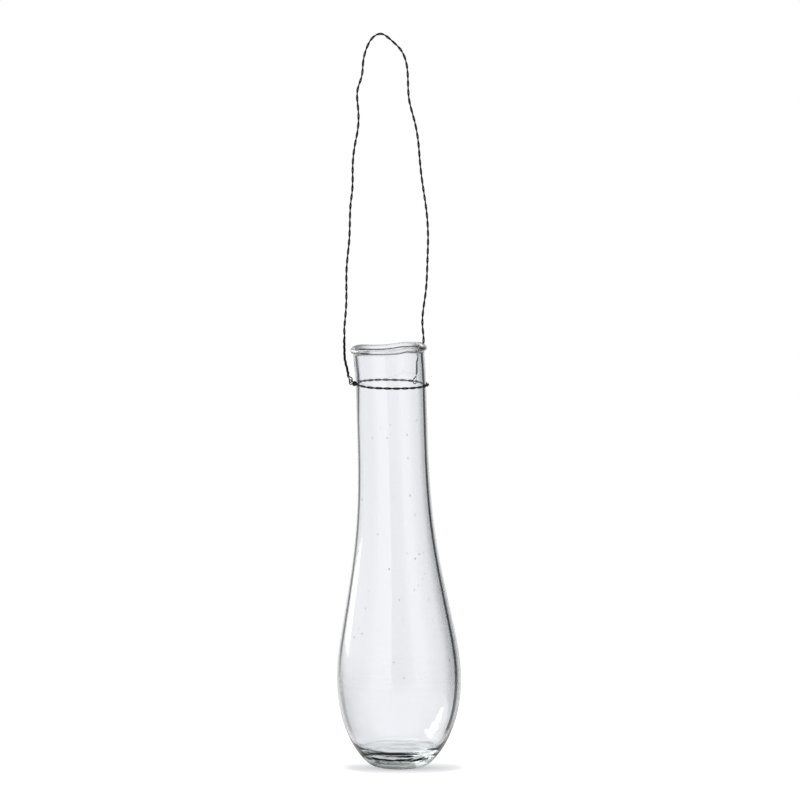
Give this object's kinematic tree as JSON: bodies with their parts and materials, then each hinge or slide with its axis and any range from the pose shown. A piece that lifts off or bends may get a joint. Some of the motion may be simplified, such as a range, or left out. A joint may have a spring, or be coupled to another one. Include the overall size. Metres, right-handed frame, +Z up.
{
  "type": "hanging propagation vase",
  "caption": "Blown clear-glass drop vase with a thick flat base and a leaning neck, a twisted wire collar round the neck and a tall twisted wire hanger hooked into it.",
  "frame": {"origin": "middle of the ground foot, on the surface that the vase stands on", "axes": "+Z up, +X to the right as seen from the front, +Y to the back; the collar's eye is on the -X side"},
  "size_m": [0.0774, 0.0774, 0.455],
  "materials": {
    "clear_glass": "clear blown glass, fire-polished rim, ground foot",
    "black_wire": "matt black annealed steel wire"
  },
  "bodies": {
    "vessel": {"glass_vessel": "clear_glass"},
    "collar": {"collar_strand_a": "black_wire", "collar_strand_b": "black_wire"},
    "hanger": {"hanger_strand_a": "black_wire", "hanger_strand_b": "black_wire"}
  },
  "joints": [
    {"name": "collar_turn", "type": "hinge", "parent": "vessel", "child": "collar", "pos_m": [-0.00493, 0, 0.2387], "axis": [0, 0, 1], "continuous": true},
    {"name": "hanger_swing", "type": "hinge", "parent": "collar", "child": "hanger", "pos_m": [-0.02976, -0.00516, 0.24036], "axis": [0.8651, 0.5006, -0.0299], "range_deg": [-40, 40]}
  ]
}
